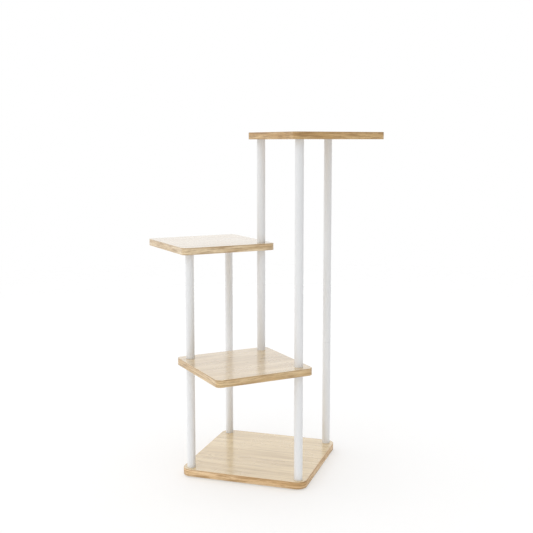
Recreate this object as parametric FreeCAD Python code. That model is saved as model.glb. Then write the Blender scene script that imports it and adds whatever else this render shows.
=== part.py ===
"""Tiered plant stand: a square base, three square shelves turned 45 degrees, and round posts.

Millimetres. +X is right, +Y is back, +Z is up. The origin is on the floor, below the middle of
the stand's bounding box. Levels are counted from 0, the base, to 3, the top shelf.
"""
import FreeCAD, Part
import math
import os

# Driving dimensions
tube_diameter = 19.0
tube_wall = 1.0
tube_end_round = 0.3
short_tube_length = 240.0
board_thickness = 16.0
base_side = 294.0
base_corner_radius = 23.0
shelf_side = 230.0
shelf_corner_radius = 12.0
shelf_turn = 45.0
post_offset = 128.0
edge_band_thickness = 0.8
edge_band_round = 0.5

foot_pad_height = 3.0
foot_pad_diameter = 24.0
foot_pad_edge_chamfer = 0.6
foot_pad_offset = 98.0

thread_diameter = 6.0
thread_clearance = 0.03
thread_chamfer = 0.7
board_hole_diameter = 6.6
thread_engagement = 12.0

plug_length = 18.0
plug_recess = 0.5
plug_clearance = 0.02
plug_groove_width = 2.0
plug_groove_depth = 0.6
plug_groove_count = 3
plug_mouth_chamfer = 0.5

bolt_length = 25.0
bolt_head_diameter = 10.5
bolt_head_height = 3.3
bolt_head_round = 1.6
bolt_socket_across_flats = 4.0
bolt_socket_depth = 2.0
washer_diameter = 12.0
washer_thickness = 1.2
washer_edge_chamfer = 0.2
counterbore_diameter = 14.0
counterbore_depth = 5.5

nut_diameter = 10.0
nut_length = 12.0
nut_clearance = 0.02
nut_barb_count = 4
nut_barb_depth = 0.5
blind_hole_spare_depth = 0.5

# Sizes that follow from the driving dimensions
level_pitch = board_thickness + short_tube_length
long_tube_length = 2 * level_pitch - board_thickness
top_level = 3
shelf_tip_reach = shelf_side / math.sqrt(2) - shelf_corner_radius * (math.sqrt(2) - 1)
front_reach = post_offset + shelf_tip_reach
back_reach = shelf_tip_reach
base_centre_y = (front_reach - back_reach) / 2
long_stud_length = board_thickness + 2 * thread_engagement
short_stud_length = 2 * thread_engagement
blind_hole_depth = nut_length + blind_hole_spare_depth

UP = FreeCAD.Vector(0, 0, 1)
DOWN = FreeCAD.Vector(0, 0, -1)

POSTS = {
    "front_left": (-post_offset, base_centre_y - post_offset),
    "front_right": (post_offset, base_centre_y - post_offset),
    "back_left": (-post_offset, base_centre_y + post_offset),
    "back_right": (post_offset, base_centre_y + post_offset),
    "centre": (0.0, base_centre_y),
}

# Centres of the shelves by level: in front, to the left and to the right of the centre post
SHELF_CENTRES = {
    1: (0.0, base_centre_y - post_offset),
    2: (-post_offset, base_centre_y),
    3: (post_offset, base_centre_y),
}


def underside(level):
    """Height of the underside of the board on a level."""
    return foot_pad_height + level * level_pitch


def topside(level):
    """Height of the top face of the board on a level."""
    return underside(level) + board_thickness


def at_post(post, height):
    """Point on a post's axis."""
    x, y = POSTS[post]
    return FreeCAD.Vector(x, y, height)


def rounded_square(side, radius, height):
    """Upright prism on a square with rounded corners, centred on the origin, from z = 0 up."""
    half = side / 2
    inner = half - radius
    diagonal = inner + radius / math.sqrt(2)
    edges = []
    for quarter in range(4):
        turn = FreeCAD.Rotation(UP, 90 * quarter)
        side_start = turn.multVec(FreeCAD.Vector(half, -inner, 0))
        side_end = turn.multVec(FreeCAD.Vector(half, inner, 0))
        arc_middle = turn.multVec(FreeCAD.Vector(diagonal, diagonal, 0))
        arc_end = turn.multVec(FreeCAD.Vector(inner, half, 0))
        edges.append(Part.LineSegment(side_start, side_end).toShape())
        edges.append(Part.Arc(side_end, arc_middle, arc_end).toShape())
    return Part.Face(Part.Wire(edges)).extrude(UP * height)


def placed(shape, centre, angle=0.0):
    """The shape turned about its own +Z and moved so that its origin is at the centre."""
    shape = shape.copy()
    shape.Placement = FreeCAD.Placement(centre, FreeCAD.Rotation(UP, angle))
    return shape


def round_hole(diameter, depth, mouth, direction):
    """Cutter for a hole that starts at its mouth and goes in along the direction."""
    return Part.makeCylinder(diameter / 2, depth, mouth, direction)


def group(solids):
    """Separate solids kept together under one name."""
    return Part.makeCompound(solids)


# Boards

def board_core(side, radius, centre, angle, cutters):
    """Faced particle board, without its edge band, with its holes cut."""
    core_side = side - 2 * edge_band_thickness
    core_radius = radius - edge_band_thickness
    core = placed(rounded_square(core_side, core_radius, board_thickness), centre, angle)
    for cutter in cutters:
        core = core.cut(cutter)
    return core


def edge_band(side, radius, centre, angle):
    """Strip glued round a board's edge, with its outer corners rounded over."""
    outside = rounded_square(side, radius, board_thickness)
    rims = [edge for edge in outside.Edges if edge.BoundBox.ZLength < edge_band_round]
    outside = outside.makeFillet(edge_band_round, rims)
    core_side = side - 2 * edge_band_thickness
    core_radius = radius - edge_band_thickness
    inside = rounded_square(core_side, core_radius, board_thickness)
    return placed(outside.cut(inside), centre, angle)


def through_hole(post, level):
    """Clearance hole for a stud, right through the board."""
    return round_hole(board_hole_diameter, board_thickness, at_post(post, underside(level)), UP)


def counterbored_hole(post, level):
    """Clearance hole for a bolt, with room below for its head and washer."""
    mouth = at_post(post, underside(level))
    return through_hole(post, level).fuse(round_hole(counterbore_diameter, counterbore_depth, mouth, UP))


def blind_hole(post, level):
    """Hole for a press-in nut, in the underside only."""
    return round_hole(nut_diameter, blind_hole_depth, at_post(post, underside(level)), UP)


def make_base():
    """The base board and its edge band."""
    centre = FreeCAD.Vector(0, base_centre_y, underside(0))
    holes = [counterbored_hole(post, 0) for post in POSTS if post != "centre"]
    return {
        "base_board": board_core(base_side, base_corner_radius, centre, 0, holes),
        "base_edge_band": edge_band(base_side, base_corner_radius, centre, 0),
    }


def make_shelf(name, level, holes):
    """One shelf board, turned so that a corner points at each post, and its edge band."""
    x, y = SHELF_CENTRES[level]
    centre = FreeCAD.Vector(x, y, underside(level))
    return {
        name + "_board": board_core(shelf_side, shelf_corner_radius, centre, shelf_turn, holes),
        name + "_edge_band": edge_band(shelf_side, shelf_corner_radius, centre, shelf_turn),
    }


def make_shelves():
    """The three shelves, each with the holes that its posts need."""
    lower_holes = [through_hole("front_left", 1), through_hole("front_right", 1)]
    lower_holes.append(counterbored_hole("centre", 1))
    middle_holes = [blind_hole("front_left", 2), blind_hole("back_left", 2)]
    middle_holes.append(through_hole("centre", 2))
    top_holes = [blind_hole(post, top_level) for post in ("front_right", "back_right", "centre")]
    nodes = make_shelf("lower_shelf", 1, lower_holes)
    nodes.update(make_shelf("middle_shelf", 2, middle_holes))
    nodes.update(make_shelf("top_shelf", top_level, top_holes))
    return nodes


# Posts

def tube(post, bottom, top):
    """Round steel tube with its outer rims eased."""
    length = top - bottom
    foot = at_post(post, bottom)
    rod = Part.makeCylinder(tube_diameter / 2, length, foot, UP)
    rims = [edge for edge in rod.Edges if edge.Closed]
    rod = rod.makeFillet(tube_end_round, rims)
    return rod.cut(Part.makeCylinder(tube_diameter / 2 - tube_wall, length, foot, UP))


def end_plug(mouth, inwards):
    """Threaded plug for a tube end, with grooves round it. Its mouth is just inside the tube."""
    radius = tube_diameter / 2 - tube_wall - plug_clearance
    bore_radius = thread_diameter / 2 + thread_clearance
    start = mouth + inwards * plug_recess
    plug = Part.makeCylinder(radius, plug_length, start, inwards)
    groove_pitch = plug_length / (plug_groove_count + 1)
    for index in range(plug_groove_count):
        middle = groove_pitch * (index + 1)
        groove_start = start + inwards * (middle - plug_groove_width / 2)
        outer = Part.makeCylinder(radius + plug_groove_depth, plug_groove_width, groove_start, inwards)
        inner = Part.makeCylinder(radius - plug_groove_depth, plug_groove_width, groove_start, inwards)
        plug = plug.cut(outer.cut(inner))
    plug = plug.cut(Part.makeCylinder(bore_radius, plug_length, start, inwards))
    mouth_radius = bore_radius + plug_mouth_chamfer
    return plug.cut(Part.makeCone(mouth_radius, bore_radius, plug_mouth_chamfer, start, inwards))


def tube_spans():
    """Post, bottom and top of each tube, by name."""
    joint_height = underside(top_level) - long_tube_length
    return {
        "front_left_lower_tube": ("front_left", topside(0), underside(1)),
        "front_left_upper_tube": ("front_left", topside(1), underside(2)),
        "front_right_lower_tube": ("front_right", topside(0), underside(1)),
        "front_right_upper_tube": ("front_right", topside(1), underside(top_level)),
        "back_left_tube": ("back_left", topside(0), underside(2)),
        "back_right_lower_tube": ("back_right", topside(0), joint_height),
        "back_right_upper_tube": ("back_right", joint_height, underside(top_level)),
        "centre_lower_tube": ("centre", topside(1), underside(2)),
        "centre_upper_tube": ("centre", topside(2), underside(top_level)),
    }


def make_posts():
    """Every tube, and the pair of plugs in its ends."""
    nodes = {}
    for name, (post, bottom, top) in tube_spans().items():
        nodes[name] = tube(post, bottom, top)
        plugs = [end_plug(at_post(post, bottom), UP), end_plug(at_post(post, top), DOWN)]
        nodes[name.replace("_tube", "_end_plugs")] = group(plugs)
    return nodes


# Fasteners and feet

def stud(post, middle_height, length):
    """Headless threaded rod with chamfered ends, centred on a height."""
    bottom = at_post(post, middle_height - length / 2)
    rod = Part.makeCylinder(thread_diameter / 2, length, bottom, UP)
    return rod.makeChamfer(thread_chamfer, [edge for edge in rod.Edges if edge.Closed])


def washer(post, level):
    """Flat washer against the floor of a counterbore."""
    top = underside(level) + counterbore_depth
    ring = Part.makeCylinder(washer_diameter / 2, washer_thickness, at_post(post, top), DOWN)
    ring = ring.makeChamfer(washer_edge_chamfer, [edge for edge in ring.Edges if edge.Closed])
    hole = round_hole(board_hole_diameter, washer_thickness, at_post(post, top), DOWN)
    return ring.cut(hole)


def bolt(post, level):
    """Button-head bolt with a hexagon socket, head down on its washer."""
    seat = at_post(post, underside(level) + counterbore_depth - washer_thickness)
    shank = Part.makeCylinder(thread_diameter / 2, bolt_length, seat, UP)
    tip = [edge for edge in shank.Edges if edge.Closed and edge.BoundBox.ZMax > seat.z + thread_diameter]
    shank = shank.makeChamfer(thread_chamfer, tip)
    head = Part.makeCylinder(bolt_head_diameter / 2, bolt_head_height, seat, DOWN)
    crown = [edge for edge in head.Edges if edge.Closed and edge.BoundBox.ZMax < seat.z - bolt_head_round]
    head = head.makeFillet(bolt_head_round, crown)
    corner_radius = bolt_socket_across_flats / math.sqrt(3)
    first_corner = FreeCAD.Vector(corner_radius, 0, -bolt_head_height)
    corners = [seat + FreeCAD.Rotation(UP, 60 * index).multVec(first_corner) for index in range(6)]
    outline = Part.makePolygon(corners + [corners[0]])
    socket = Part.Face(outline).extrude(UP * bolt_socket_depth)
    return shank.fuse(head).cut(socket).removeSplitter()


def insert_nut(post, level):
    """Barbed, internally threaded sleeve pressed into the underside of a shelf."""
    mouth = at_post(post, underside(level))
    radius = nut_diameter / 2 - nut_clearance
    barb_length = nut_length / nut_barb_count
    barbs = []
    for index in range(nut_barb_count):
        start = mouth + UP * (barb_length * index)
        barbs.append(Part.makeCone(radius, radius - nut_barb_depth, barb_length, start, UP))
    sleeve = barbs[0].multiFuse(barbs[1:])
    bore_radius = thread_diameter / 2 + thread_clearance
    return sleeve.cut(Part.makeCylinder(bore_radius, nut_length, mouth, UP))


def foot_pad(x, y):
    """Round non-slip pad stuck under the base, with its lower rim eased."""
    pad = Part.makeCylinder(foot_pad_diameter / 2, foot_pad_height, FreeCAD.Vector(x, y, 0), UP)
    rim = [edge for edge in pad.Edges if edge.Closed and edge.BoundBox.ZMax < foot_pad_height / 2]
    return pad.makeChamfer(foot_pad_edge_chamfer, rim)


def make_fasteners():
    """Bolts, washers, studs and press-in nuts, grouped where they are identical and together."""
    corner_posts = [post for post in POSTS if post != "centre"]
    middle_posts = ["front_left", "back_left"]
    top_posts = ["front_right", "back_right", "centre"]
    lower_middle = underside(1) + board_thickness / 2
    middle_middle = underside(2) + board_thickness / 2
    joint_height = underside(top_level) - long_tube_length
    return {
        "base_bolts": group([bolt(post, 0) for post in corner_posts]),
        "base_washers": group([washer(post, 0) for post in corner_posts]),
        "lower_shelf_bolt": bolt("centre", 1),
        "lower_shelf_washer": washer("centre", 1),
        "lower_shelf_long_studs": group(
            [stud(post, lower_middle, long_stud_length) for post in ("front_left", "front_right")]),
        "middle_shelf_long_stud": stud("centre", middle_middle, long_stud_length),
        "back_right_joint_stud": stud("back_right", joint_height, short_stud_length),
        "middle_shelf_insert_nuts": group([insert_nut(post, 2) for post in middle_posts]),
        "middle_shelf_short_studs": group(
            [stud(post, underside(2), short_stud_length) for post in middle_posts]),
        "top_shelf_insert_nuts": group([insert_nut(post, top_level) for post in top_posts]),
        "top_shelf_short_studs": group(
            [stud(post, underside(top_level), short_stud_length) for post in top_posts]),
    }


def make_feet():
    """The four pads under the base."""
    pads = []
    for x_side in (-1, 1):
        for y_side in (-1, 1):
            pads.append(foot_pad(x_side * foot_pad_offset, base_centre_y + y_side * foot_pad_offset))
    return {"foot_pads": group(pads)}


nodes = {}
nodes.update(make_base())
nodes.update(make_shelves())
nodes.update(make_posts())
nodes.update(make_fasteners())
nodes.update(make_feet())

os.makedirs("parts", exist_ok=True)
for name, shape in nodes.items():
    shape.exportStep("parts/" + name + ".step")
    print(name, len(shape.Solids), "solids, valid", shape.isValid(), "volume", round(shape.Volume, 1))
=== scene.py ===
"""Looks of the tiered plant stand: finishes, floor, light and camera.

Metres and radians, in the stand's own frame: +X right, +Y back, +Z up, the floor at z = 0.
Colours are linear.
"""
import math
from collections import namedtuple

import bmesh
import bpy
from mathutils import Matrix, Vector


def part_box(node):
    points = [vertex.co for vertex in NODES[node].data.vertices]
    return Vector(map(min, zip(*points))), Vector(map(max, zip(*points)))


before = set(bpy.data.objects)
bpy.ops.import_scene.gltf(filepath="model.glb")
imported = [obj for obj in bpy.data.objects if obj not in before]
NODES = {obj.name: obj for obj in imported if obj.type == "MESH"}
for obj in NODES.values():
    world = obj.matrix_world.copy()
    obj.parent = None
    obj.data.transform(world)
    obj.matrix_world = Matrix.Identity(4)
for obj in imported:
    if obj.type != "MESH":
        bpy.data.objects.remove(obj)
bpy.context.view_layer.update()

MM = 0.001
WHITE = (1.0, 1.0, 1.0, 1.0)

# A noise: its cycles a metre along X, Y and Z, its octaves of detail and how rough they are,
# the range of its values that is used, and how much it darkens wood
MOST_OF_NOISE = (0.30, 0.70)
Noise = namedtuple("Noise", "cycles detail roughness low high darkness", defaults=(*MOST_OF_NOISE, 0.0))
# A fade: full up to one distance, gone from another, and its strength where it is full
Fade = namedtuple("Fade", "full gone strength")

# Camera, fitted to the photograph. Pixels are those of its 533 by 533 frame.
IMAGE_SIDE_PX = 533
FOCAL_LENGTH_PX = 878.0
PRINCIPAL_ROW_PX = 238.5
SENSOR_WIDTH_MM = 36.0
CAMERA_PLACE = Vector((0.6336, -1.8796, 0.7635))
CAMERA_TURN = 0.3090
CAMERA_DIP = 0.1087

# Light: a wide soft sky over a white floor that glows a little. The sky's light is SKY_EVEN,
# plus SKY_SLOPE times the cosine of the angle from its brightest direction.
SKY_BRIGHTEST = Vector((-0.335, -0.176, 0.926))
SKY_EVEN = 0.255
SKY_SLOPE = 1.27
SKY_BELOW = 0.60
FLOOR_WHITE = 0.60
FLOOR_GLOW = 0.37
FLOOR_ROUGHNESS = 0.9
FLOOR_RADIUS = 4.0
FLOOR_SIDES = 96
FLOOR_FADE = Fade(1.0, 3.6, 1.0)
PAD_GAP = 8 * MM

# Boards: corner radii inside the edge band, the turn of the shelves, and how far one board's
# grain is shifted from the next one's. A look has the place of the rings' heart across the
# board, the tones of the face and the band, and the band's clear coat and plain shine.
# The tones are partly each board's own and partly painted light: each board's face and band
# made brighter or darker for how much light falls on it.
BASE_CORNER = 22.2 * MM
SHELF_CORNER = 11.2 * MM
SHELF_TURN = math.radians(45)
FACE_STEP = (1.37, 0, 0)
BAND_STEP = (0.83, 0.47, 0.31)
BoardLook = namedtuple("BoardLook", "name turn corner heart face_tone band_tone gloss shine seed")
BOARD_LOOKS = (
    BoardLook("base", 0.0, BASE_CORNER, heart=-0.045, face_tone=(1.06, 1.09, 1.06, 1.0),
              band_tone=(1.07, 1.06, 1.09, 1.0), gloss=0.0, shine=0.12, seed=1),
    BoardLook("lower_shelf", SHELF_TURN, SHELF_CORNER, heart=0.010, face_tone=(0.97, 0.98, 0.98, 1.0),
              band_tone=(0.965, 0.955, 0.86, 1.0), gloss=0.7, shine=0.5, seed=2),
    BoardLook("middle_shelf", SHELF_TURN, SHELF_CORNER, heart=0.055, face_tone=(0.94, 0.94, 0.94, 1.0),
              band_tone=(1.05, 1.12, 1.20, 1.0), gloss=0.8, shine=0.5, seed=3),
    BoardLook("top_shelf", SHELF_TURN, SHELF_CORNER, heart=-0.020, face_tone=(0.97, 0.97, 0.97, 1.0),
              band_tone=(0.87, 0.80, 0.64, 1.0), gloss=0.2, shine=0.5, seed=4),
)

# Oak-look faces: streaks along X, fibres, short dashes and pores, under a clear lacquer
OAK_PALE = (0.850, 0.670, 0.415, 1.0)
OAK_GOLD = (0.680, 0.505, 0.280, 1.0)
OAK_BROWN = (0.400, 0.255, 0.112, 1.0)
FACE_BROAD = Noise((1.2, 26, 1), 3.0, 0.55, 0.38, 0.62)
FACE_NARROW = Noise((6, 120, 1), 3.0, 0.6, 0.46, 0.68, 0.55)
FACE_FIBRE = Noise((16, 1000, 1), 3.0, 0.6, 0.45, 0.75, 0.25)
FACE_DASH = Noise((34, 680, 1), 2.0, 0.6, 0.55, 0.64, 0.45)
FACE_PORE = Noise((120, 2100, 1), 1.0, 0.5, 0.56, 0.64, 0.50)
FACE_SMEAR = Noise((14, 14, 14), 2.0, 0.5)
FACE_FIBRE_HEIGHT = 0.3
FACE_RELIEF = 0.02 * MM
FACE_ROUGHNESS = (0.24, 0.32)
FACE_THICKNESS = 0.2 * MM
PORE_ROUGHNESS = 0.10
LACQUER_WEIGHT = 1.0
LACQUER_ROUGHNESS = 0.13
LACQUER_IOR = 1.8

# Growth rings on the faces: their width, how they wander, and how pores crowd in them.
# RING_SWINGS, in radians a metre, is how often wide and narrow rings take turns.
RING_WIDTH = 6.0 * MM
RING_DARKNESS = 0.55
RING_SHARPNESS = 3.2
RING_SWINGS = 190
RING_SWAY = Noise((1.8, 5, 1), 2.0, 0.5, 0.25, 0.75)
RING_SWAY_REACH = 12 * MM
RING_KINK = Noise((18, 70, 1), 3.0, 0.6, 0.25, 0.75)
RING_KINK_REACH = 1.4 * MM
RING_DEPTH = Noise((1.6, 0, 0), 1.0, 0.5)
RING_DEEPEST = 75 * MM
RING_PATCHES = Noise((4, 34, 1), 2.0, 0.5, 0.35, 0.65)
RING_FAINTEST = 0.15
CROWDED_RING = 0.6
UNCROWDED_PORES = 0.25

# Chipboard core, and the line of glue between the face and the edge band
CHIP_DARK = (0.300, 0.200, 0.110, 1.0)
CHIP_PALE = (0.620, 0.460, 0.280, 1.0)
CHIPS_PER_METRE = 520.0
CHIP_FLATNESS = 2.5
CHIP_RELIEF = 0.3 * MM
CHIP_ROUGHNESS = 0.85
GLUE_BROWN = (0.200, 0.120, 0.055, 1.0)
GLUE_STARTS = -0.30 * MM
GLUE_FULL = -0.10 * MM
GLUE_DARKNESS = 0.6

# Oak-look edge bands: streaks that run level round the board, and lines along the rims: painted
# shade as dark lines beside them, and pale trimmed rims that also paint a highlight
BAND_PALE = (0.880, 0.665, 0.405, 1.0)
BAND_GOLD = (0.680, 0.460, 0.230, 1.0)
BAND_BROWN = (0.380, 0.215, 0.085, 1.0)
BAND_CORE = (0.840, 0.660, 0.420, 1.0)
BAND_DRIFT = Noise((8, 8, 0), 1.0, 0.5, 0.25, 0.75)
BAND_DRIFT_REACH = 2.5 * MM
BAND_BROAD = Noise((9, 9, 150), 2.0, 0.5, 0.36, 0.64)
BAND_NARROW = Noise((22, 22, 340), 3.0, 0.6, 0.48, 0.60, 0.70)
BAND_FIBRE = Noise((40, 40, 1500), 3.0, 0.6, 0.45, 0.75, 0.25)
BAND_DASH = Noise((60, 60, 900), 2.0, 0.6, 0.56, 0.64, 0.35)
BAND_PORE = Noise((140, 140, 2600), 1.0, 0.5, 0.57, 0.65, 0.30)
BAND_FIBRE_HEIGHT = 0.4
BAND_RELIEF = 0.03 * MM
BAND_ROUGHNESS = (0.34, 0.44)
BAND_LACQUER_ROUGHNESS = 0.22
RIM_PAINTED_SHADE = Fade(0.8 * MM, 2.0 * MM, 0.25)
TOP_RIM_PAINTED_SHADE = Fade(0.8 * MM, 3.2 * MM, 0.62)
TRIMMED_RIM_AND_HIGHLIGHT = Fade(0.25 * MM, 0.45 * MM, 0.75)

# White powder coat on the tubes
COAT_WHITE = (0.855, 0.862, 0.870, 1.0)
COAT_BRIGHT = (0.885, 0.892, 0.900, 1.0)
# Grey at the tubes' ends: partly rubbed coat, partly painted shade where a tube meets a board
COAT_RUBBED_AND_SHADE = (0.420, 0.420, 0.430, 1.0)
COAT_PEEL = Noise((850, 850, 850), 2.0, 0.5)
COAT_GRIT = Noise((3200, 3200, 3200), 1.0, 0.5)
COAT_CLOUD = Noise((18, 18, 18), 3.0, 0.5)
COAT_WEAR_AND_SHADE = Noise((260, 260, 260), 3.0, 0.6, 0.42, 0.62)
COAT_END_RUB_AND_SHADE = Fade(0.2 * MM, 1.6 * MM, 1.0)
COAT_RUB_AND_SHADE = 0.25
COAT_GRIT_HEIGHT = 0.3
COAT_RELIEF = 0.02 * MM
COAT_ROUGHNESS = (0.36, 0.44)
RUBBED_ROUGHNESS = 0.2

# Metals, each between two colours and two roughnesses, with fine lines that turning left
Metal = namedtuple("Metal", "dark bright smooth rough lines")
STEEL = Metal((0.360, 0.360, 0.370, 1.0), (0.560, 0.560, 0.570, 1.0), 0.28, 0.42,
              Noise((60, 60, 5000), 2.0, 0.6))
ZINC = Metal((0.550, 0.570, 0.600, 1.0), (0.740, 0.760, 0.790, 1.0), 0.25, 0.40,
             Noise((60, 60, 2500), 2.0, 0.6))
BRASS = Metal((0.550, 0.380, 0.140, 1.0), (0.780, 0.580, 0.260, 1.0), 0.25, 0.38,
              Noise((60, 60, 3500), 2.0, 0.6))
METAL_MOTTLE = Noise((420, 420, 420), 3.0, 0.6)
METAL_TONES = (0.35, 0.65)
METAL_RELIEF = 0.01 * MM

# Threads above a bolt's head or along a stud. Root and crest are parts of a turn.
BOLT_HEAD = 3.3 * MM
THREAD_PITCH = 1.0 * MM
THREAD_DEPTH = 0.55 * MM
THREAD_ROOT = 0.06
THREAD_CREST = 0.44

# Foam rubber of the foot pads
RUBBER_BLACK = (0.018, 0.018, 0.019, 1.0)
RUBBER_DUSTY = (0.060, 0.058, 0.055, 1.0)
RUBBER_GRAIN = Noise((1600, 1600, 1600), 2.0, 0.6)
RUBBER_DUST = Noise((90, 90, 90), 3.0, 0.6, 0.40, 0.80)
RUBBER_RELIEF = 0.06 * MM
RUBBER_ROUGHNESS = (0.78, 0.92)


class Nodes:
    """A node tree, with short ways to add and join its nodes."""

    def __init__(self, tree):
        self.tree = tree

    def own(self, kind):
        """The node of a kind that the tree began with."""
        return next(node for node in self.tree.nodes if node.type == kind)

    def put(self, socket, value):
        """Joins a socket to another, or sets its value."""
        if isinstance(value, bpy.types.NodeSocket):
            self.tree.links.new(value, socket)
        else:
            socket.default_value = value

    def node(self, kind, inputs=None, **settings):
        """A new node, its inputs given by name or number."""
        node = self.tree.nodes.new("ShaderNode" + kind)
        for name, value in settings.items():
            setattr(node, name, value)
        for name, value in (inputs or {}).items():
            self.put(node.inputs[name], value)
        return node

    def math(self, operation, first, second=0.0):
        """The result of one sum on numbers."""
        return self.node("Math", {0: first, 1: second}, operation=operation).outputs[0]

    def plus(self, first, second):
        """One number added to another."""
        return self.math("ADD", first, second)

    def minus(self, first, second):
        """One number less another."""
        return self.math("SUBTRACT", first, second)

    def times(self, first, second):
        """One number times another."""
        return self.math("MULTIPLY", first, second)

    def smaller(self, first, second):
        """The smaller of two numbers."""
        return self.math("MINIMUM", first, second)

    def larger(self, first, second):
        """The larger of two numbers."""
        return self.math("MAXIMUM", first, second)

    def split(self, vector):
        """The three parts of a vector."""
        return self.node("SeparateXYZ", {0: vector}).outputs

    def join(self, x, y, z):
        """A vector of three parts."""
        return self.node("CombineXYZ", {0: x, 1: y, 2: z}).outputs[0]

    def length(self, vector):
        """The length of a vector."""
        return self.node("VectorMath", {0: vector}, operation="LENGTH").outputs["Value"]

    def vector_math(self, operation, first, second=(0, 0, 0)):
        """The vector that one sum on vectors gives."""
        return self.node("VectorMath", {0: first, 1: second}, operation=operation).outputs[0]

    def mapped(self, vector, turn=0.0, shift=(0, 0, 0), scale=(1, 1, 1)):
        """The point turned about Z, then scaled and shifted."""
        turned = self.node("VectorRotate", {"Vector": vector, "Angle": turn}, rotation_type="Z_AXIS")
        inputs = {"Vector": turned.outputs[0], "Location": shift, "Scale": scale}
        return self.node("Mapping", inputs).outputs[0]

    def spread(self, value, low, high, to_low=0.0, to_high=1.0):
        """The value's range from low to high, spread to a new range and clamped."""
        inputs = {"Value": value, "From Min": low, "From Max": high, "To Min": to_low, "To Max": to_high}
        return self.node("MapRange", inputs).outputs[0]

    def faded(self, fade, distance):
        """The strength of a fade at a distance."""
        return self.spread(distance, fade.full, fade.gone, fade.strength, 0.0)

    def noise(self, kind, vector):
        """Soft noise from 0 to 1."""
        inputs = {"Vector": self.mapped(vector, scale=kind.cycles), "Scale": 1.0}
        inputs.update({"Detail": kind.detail, "Roughness": kind.roughness})
        return self.node("TexNoise", inputs).outputs[0]

    def ranged_noise(self, kind, vector, to_low=0.0, to_high=1.0):
        """Soft noise, the range that is used spread to a new one."""
        return self.spread(self.noise(kind, vector), kind.low, kind.high, to_low, to_high)

    def between(self, amount, first, second):
        """A number that goes from the first to the second."""
        return self.node("Mix", {0: amount, 2: first, 3: second}).outputs[0]

    def mix(self, amount, first, second, blend="MIX"):
        """Two colours mixed."""
        inputs = {0: amount, 6: first, 7: second}
        return self.node("Mix", inputs, data_type="RGBA", blend_type=blend).outputs[2]

    def bump(self, height, distance, normal=None):
        """A surface normal pushed by a height from 0 to 1 over a distance in metres."""
        inputs = {"Height": height, "Distance": distance}
        if normal is not None:
            inputs["Normal"] = normal
        return self.node("Bump", inputs).outputs[0]


class Shader(Nodes):
    """One node-based material."""

    def __init__(self, name):
        self.material = bpy.data.materials.new(name)
        self.material.use_nodes = True
        super().__init__(self.material.node_tree)

    def place(self):
        """The point on the object, in metres."""
        return self.node("TexCoord").outputs["Object"]

    def finish(self, **inputs):
        """Sets the surface shader's inputs, named with _ for spaces, and gives the material."""
        surface = self.own("BSDF_PRINCIPLED")
        for name, value in inputs.items():
            self.put(surface.inputs[name.replace("_", " ")], value)
        return self.material


def dress(node_name, material):
    """Gives a CAD node its finish."""
    for slot in NODES[node_name].material_slots:
        slot.material = material


# Boards

class Board:
    """One board's own frame: its middle, its turn, and its outline inside the edge band."""

    def __init__(self, name, turn, corner):
        low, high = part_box(name + "_board")
        reach = (high.x - low.x) / 2
        across = math.cos(turn) + math.sin(turn)
        self.turn = turn
        self.corner = corner
        self.half_side = (reach - corner) / across + corner
        self.middle = Vector(((low.x + high.x) / 2, (low.y + high.y) / 2, 0))
        self.bottom = low.z
        self.top = high.z

    def own_place(self, shader, place):
        """The point in the board's own frame, its X along the grain."""
        moved = shader.vector_math("SUBTRACT", place, self.middle)
        return shader.mapped(moved, -self.turn)

    def past_outline(self, shader, own_place):
        """How far the point lies outside the outline, in metres; inside it is below zero."""
        straight = self.half_side - self.corner
        from_middle = shader.vector_math("ABSOLUTE", own_place)
        x, y, _ = shader.split(shader.vector_math("SUBTRACT", from_middle, (straight, straight, 0)))
        outside = shader.length(shader.join(shader.larger(x, 0), shader.larger(y, 0), 0))
        inside = shader.smaller(shader.larger(x, y), 0)
        return shader.minus(shader.plus(outside, inside), self.corner)


def growth_rings(shader, along, heart):
    """Dark lines where the rings meet a flat-sawn board: long arches beside straight lines."""
    across = shader.plus(shader.split(along)[1], -heart)
    across = shader.plus(across, shader.ranged_noise(RING_SWAY, along, -RING_SWAY_REACH, RING_SWAY_REACH))
    across = shader.plus(across, shader.ranged_noise(RING_KINK, along, -RING_KINK_REACH, RING_KINK_REACH))
    depth = shader.ranged_noise(RING_DEPTH, along, 0.0, RING_DEEPEST)
    radius = shader.math("SQRT", shader.plus(shader.times(across, across), shader.times(depth, depth)))
    uneven = shader.math("SINE", shader.times(radius, RING_SWINGS))
    age = shader.plus(shader.math("DIVIDE", radius, RING_WIDTH), uneven)
    line = shader.math("POWER", shader.math("FRACT", age), RING_SHARPNESS)
    return shader.times(line, shader.ranged_noise(RING_PATCHES, along, RING_FAINTEST, 1.0))


def chipboard(shader, place):
    """Pressed wood chips: their colour, and how far each point lies from the chip's middle."""
    flattened = shader.mapped(place, scale=(1, 1, CHIP_FLATNESS))
    chips = shader.node("TexVoronoi", {"Vector": flattened, "Scale": CHIPS_PER_METRE})
    tone = shader.node("SeparateColor", {0: chips.outputs["Color"]}).outputs[0]
    return shader.mix(tone, CHIP_DARK, CHIP_PALE), chips.outputs["Distance"]


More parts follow.
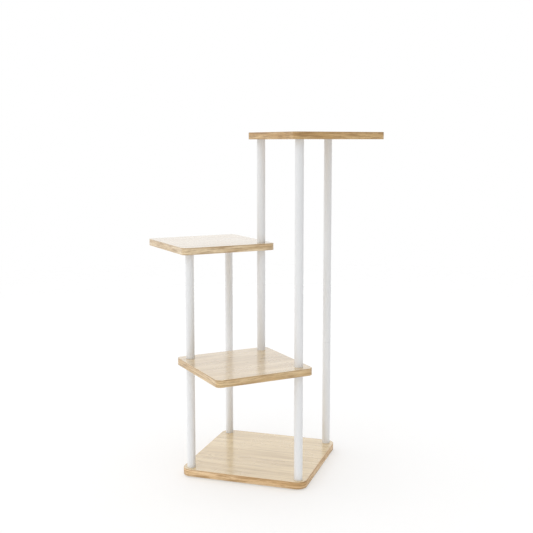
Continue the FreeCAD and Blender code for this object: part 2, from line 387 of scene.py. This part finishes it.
def oak_face(name, board, look):
    """Oak-look laminate on a board, with the chipboard core inside its holes."""
    shader = Shader(name)
    place = shader.place()
    own_place = board.own_place(shader, place)
    along = shader.mapped(own_place, shift=[look.seed * step for step in FACE_STEP])

    # Broad and narrow streaks, fine fibres, and open pores that crowd in the rings' dark lines
    ring = growth_rings(shader, along, look.heart)
    crowd = shader.spread(ring, 0.0, CROWDED_RING, UNCROWDED_PORES, 1.0)
    fibre = shader.noise(FACE_FIBRE, along)
    dash = shader.times(shader.ranged_noise(FACE_DASH, along), crowd)
    pore = shader.times(shader.ranged_noise(FACE_PORE, along), crowd)
    marks = (
        (ring, RING_DARKNESS),
        (shader.ranged_noise(FACE_NARROW, along), FACE_NARROW.darkness),
        (shader.spread(fibre, FACE_FIBRE.low, FACE_FIBRE.high), FACE_FIBRE.darkness),
        (dash, FACE_DASH.darkness),
        (pore, FACE_PORE.darkness),
    )
    colour = shader.mix(shader.ranged_noise(FACE_BROAD, along), OAK_PALE, OAK_GOLD)
    for mark, darkness in marks:
        colour = shader.mix(shader.times(mark, darkness), colour, OAK_BROWN)
    # Each board's face tone: partly its own, partly painted light that brightens or darkens it for how
    # light falls on that board
    colour = shader.mix(1.0, colour, look.face_tone, "MULTIPLY")
    glue = shader.spread(board.past_outline(shader, own_place), GLUE_STARTS, GLUE_FULL, 0.0, GLUE_DARKNESS)
    colour = shader.mix(glue, colour, GLUE_BROWN)

    # Between the two faces the core shows
    chip_colour, chip_distance = chipboard(shader, place)
    height = shader.split(place)[2]
    above = shader.math("GREATER_THAN", height, board.bottom + FACE_THICKNESS)
    below = shader.math("LESS_THAN", height, board.top - FACE_THICKNESS)
    core = shader.times(above, below)
    colour = shader.mix(core, colour, chip_colour)

    grain_height = shader.minus(shader.times(fibre, FACE_FIBRE_HEIGHT), shader.larger(pore, dash))
    normal = shader.bump(grain_height, FACE_RELIEF)
    normal = shader.bump(shader.times(chip_distance, core), CHIP_RELIEF, normal)
    roughness = shader.ranged_noise(FACE_SMEAR, place, *FACE_ROUGHNESS)
    roughness = shader.plus(roughness, shader.times(pore, PORE_ROUGHNESS))
    roughness = shader.larger(roughness, shader.times(core, CHIP_ROUGHNESS))
    return shader.finish(Base_Color=colour, Roughness=roughness, Normal=normal,
                         Coat_Weight=LACQUER_WEIGHT, Coat_Roughness=LACQUER_ROUGHNESS, Coat_IOR=LACQUER_IOR)


def oak_band(name, board, look):
    """Oak-look edge band: grain that runs the length of every side, plain trimmed rims that also
    paint a highlight, and painted shade beside the rims.
    """
    shader = Shader(name)
    place = shader.place()
    shifted = shader.mapped(place, shift=[look.seed * step for step in BAND_STEP])
    x, y, z = shader.split(shifted)
    drift = shader.ranged_noise(BAND_DRIFT, shifted, -BAND_DRIFT_REACH, BAND_DRIFT_REACH)
    along = shader.join(x, y, shader.plus(z, drift))

    broad = shader.noise(BAND_BROAD, along)
    fibre = shader.noise(BAND_FIBRE, along)
    pore = shader.ranged_noise(BAND_PORE, along)
    marks = (
        (shader.ranged_noise(BAND_NARROW, along), BAND_NARROW.darkness),
        (shader.spread(fibre, BAND_FIBRE.low, BAND_FIBRE.high), BAND_FIBRE.darkness),
        (shader.ranged_noise(BAND_DASH, along), BAND_DASH.darkness),
        (pore, BAND_PORE.darkness),
    )
    colour = shader.mix(shader.spread(broad, BAND_BROAD.low, BAND_BROAD.high), BAND_PALE, BAND_GOLD)
    for mark, darkness in marks:
        colour = shader.mix(shader.times(mark, darkness), colour, BAND_BROWN)

    # Painted shade: soft dark lines beside the rims, the top one's deeper. Pale where they were
    # trimmed, partly the band's core and partly a painted highlight on the rounded rim
    height = shader.split(place)[2]
    from_top = shader.minus(board.top, height)
    from_rim = shader.smaller(shader.plus(height, -board.bottom), from_top)
    colour = shader.mix(shader.faded(RIM_PAINTED_SHADE, from_rim), colour, BAND_BROWN)
    colour = shader.mix(shader.faded(TOP_RIM_PAINTED_SHADE, from_top), colour, BAND_BROWN)
    colour = shader.mix(shader.faded(TRIMMED_RIM_AND_HIGHLIGHT, from_rim), colour, BAND_CORE)
    # The band's tone: partly its own, partly painted light that brightens or darkens it for how light falls
    # on that board
    colour = shader.mix(1.0, colour, look.band_tone, "MULTIPLY")

    normal = shader.bump(shader.minus(shader.times(fibre, BAND_FIBRE_HEIGHT), pore), BAND_RELIEF)
    roughness = shader.spread(broad, *MOST_OF_NOISE, *BAND_ROUGHNESS)
    return shader.finish(Base_Color=colour, Roughness=roughness, Normal=normal,
                         Specular_IOR_Level=look.shine, Coat_Weight=look.gloss,
                         Coat_Roughness=BAND_LACQUER_ROUGHNESS)


def dress_boards():
    """Every board and edge band, the grain of each shelf along one of its sides."""
    for look in BOARD_LOOKS:
        board = Board(look.name, look.turn, look.corner)
        dress(look.name + "_board", oak_face(look.name + "_oak", board, look))
        dress(look.name + "_edge_band", oak_band(look.name + "_oak_band", board, look))


# Tubes, fasteners and pads

def powder_coat(name, z_bottom, z_top):
    """Satin white powder coat with a fine orange peel, rubbed a little at the tube's ends, where
    painted shade also darkens it against the boards.
    """
    shader = Shader(name)
    place = shader.place()
    cloud = shader.noise(COAT_CLOUD, place)
    height = shader.split(place)[2]
    from_end = shader.smaller(shader.minus(height, z_bottom), shader.minus(z_top, height))
    # Darker near each end: partly rubbed coat, partly painted shade where the tube meets a board
    rub_and_shade = shader.times(shader.faded(COAT_END_RUB_AND_SHADE, from_end), shader.ranged_noise(COAT_WEAR_AND_SHADE, place))
    colour = shader.mix(cloud, COAT_WHITE, COAT_BRIGHT)
    colour = shader.mix(shader.times(rub_and_shade, COAT_RUB_AND_SHADE), colour, COAT_RUBBED_AND_SHADE)
    grit = shader.times(shader.noise(COAT_GRIT, place), COAT_GRIT_HEIGHT)
    normal = shader.bump(shader.plus(shader.noise(COAT_PEEL, place), grit), COAT_RELIEF)
    roughness = shader.spread(cloud, *MOST_OF_NOISE, *COAT_ROUGHNESS)
    roughness = shader.plus(roughness, shader.times(rub_and_shade, RUBBED_ROUGHNESS))
    return shader.finish(Base_Color=colour, Roughness=roughness, Normal=normal)


def thread_turns(shader, place, thread_start):
    """The turns of an upright thread above a height: 1 on their crests, 0 in their grooves."""
    height = shader.split(place)[2]
    turn = shader.math("PINGPONG", shader.math("DIVIDE", height, THREAD_PITCH), 0.5)
    crest = shader.spread(turn, THREAD_ROOT, THREAD_CREST)
    plain = shader.math("LESS_THAN", height, thread_start)
    return shader.larger(crest, plain)


def turned_metal(name, metal, thread_start=None):
    """Turned metal: fine lines round the part, a faint mottle and, above a height, a thread."""
    shader = Shader(name)
    place = shader.place()
    mottle = shader.noise(METAL_MOTTLE, place)
    lines = shader.noise(metal.lines, place)
    tone = shader.times(shader.plus(mottle, lines), 0.5)
    colour = shader.mix(shader.spread(tone, *METAL_TONES), metal.dark, metal.bright)
    roughness = shader.spread(mottle, *MOST_OF_NOISE, metal.smooth, metal.rough)
    normal = shader.bump(lines, METAL_RELIEF)
    if thread_start is not None:
        normal = shader.bump(thread_turns(shader, place, thread_start), THREAD_DEPTH, normal)
    return shader.finish(Base_Color=colour, Roughness=roughness, Normal=normal, Metallic=1.0)


def pad_rubber():
    """Matt black foam rubber, a little dusty."""
    shader = Shader("pad_rubber_black")
    place = shader.place()
    grain = shader.noise(RUBBER_GRAIN, place)
    colour = shader.mix(shader.ranged_noise(RUBBER_DUST, place), RUBBER_BLACK, RUBBER_DUSTY)
    normal = shader.bump(grain, RUBBER_RELIEF)
    roughness = shader.spread(grain, *MOST_OF_NOISE, *RUBBER_ROUGHNESS)
    return shader.finish(Base_Color=colour, Roughness=roughness, Normal=normal)


def dress_metal():
    """Tubes, plugs, fasteners and pads."""
    steel_finish = turned_metal("turned_steel", STEEL)
    washer_finish = turned_metal("zinc_plate", ZINC)
    brass_finish = turned_metal("brass", BRASS)
    rubber = pad_rubber()
    for name in NODES:
        if name.endswith("_tube"):
            low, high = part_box(name)
            dress(name, powder_coat(name + "_white", low.z, high.z))
        elif name.endswith("_end_plugs"):
            dress(name, steel_finish)
        elif name.endswith("_insert_nuts"):
            dress(name, brass_finish)
        elif name == "foot_pads":
            dress(name, rubber)
        elif "washer" in name:
            dress(name, washer_finish)
        elif "stud" in name:
            dress(name, turned_metal(name + "_zinc", ZINC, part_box(name)[0].z))
        elif "bolt" in name:
            dress(name, turned_metal(name + "_zinc", ZINC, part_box(name)[0].z + BOLT_HEAD))


# Stage, light and camera

def make_floor():
    """A plain white round floor that glows a little and fades into the background.

    It is clear from below, and it lets light through to what is less than PAD_GAP above it,
    so that the gap under the base isn't black.
    """
    mesh = bpy.data.meshes.new("floor")
    shape = bmesh.new()
    bmesh.ops.create_circle(shape, cap_ends=True, radius=FLOOR_RADIUS, segments=FLOOR_SIDES)
    shape.to_mesh(mesh)
    shape.free()
    floor = bpy.data.objects.new("floor", mesh)
    bpy.context.scene.collection.objects.link(floor)
    shader = Shader("floor_white")
    rays = shader.node("LightPath").outputs
    from_close = shader.times(rays["Is Diffuse Ray"], shader.math("LESS_THAN", rays["Ray Length"], PAD_GAP))
    from_below = shader.node("NewGeometry").outputs["Backfacing"]
    solid = shader.minus(1.0, shader.larger(from_below, from_close))
    opacity = shader.times(shader.faded(FLOOR_FADE, shader.length(shader.place())), solid)
    white = (FLOOR_WHITE, FLOOR_WHITE, FLOOR_WHITE, 1.0)
    material = shader.finish(Base_Color=white, Roughness=FLOOR_ROUGHNESS, Alpha=opacity,
                             Emission_Color=WHITE, Emission_Strength=FLOOR_GLOW)
    floor.data.materials.append(material)


def make_world():
    """White to the camera and in reflections; as a light, brightest overhead and to the left."""
    world = bpy.data.worlds.new("studio")
    bpy.context.scene.world = world
    world.use_nodes = True
    nodes = Nodes(world.node_tree)
    direction = nodes.node("TexCoord").outputs["Generated"]
    toward = nodes.node("VectorMath", {0: direction, 1: SKY_BRIGHTEST}, operation="DOT_PRODUCT")
    light = nodes.spread(toward.outputs["Value"], -SKY_EVEN / SKY_SLOPE, 1.0, 0.0, SKY_EVEN + SKY_SLOPE)
    under = nodes.math("LESS_THAN", nodes.split(direction)[2], 0.0)
    light = nodes.between(under, light, SKY_BELOW)
    is_diffuse = nodes.node("LightPath").outputs["Is Diffuse Ray"]
    background = nodes.own("BACKGROUND")
    nodes.put(background.inputs["Color"], WHITE)
    nodes.put(background.inputs["Strength"], nodes.between(is_diffuse, 1.0, light))


def make_camera():
    """The photograph's view: the camera's axis is level but for a small dip."""
    data = bpy.data.cameras.new("camera")
    data.sensor_width = SENSOR_WIDTH_MM
    data.lens = FOCAL_LENGTH_PX / IMAGE_SIDE_PX * SENSOR_WIDTH_MM
    data.shift_y = (PRINCIPAL_ROW_PX - IMAGE_SIDE_PX / 2) / IMAGE_SIDE_PX
    camera = bpy.data.objects.new("camera", data)
    bpy.context.scene.collection.objects.link(camera)
    camera.location = CAMERA_PLACE
    camera.rotation_euler = (math.pi / 2 - CAMERA_DIP, 0, CAMERA_TURN)
    bpy.context.scene.camera = camera


dress_boards()
dress_metal()
make_floor()
make_world()
make_camera()
bpy.context.scene.view_settings.view_transform = "Standard"
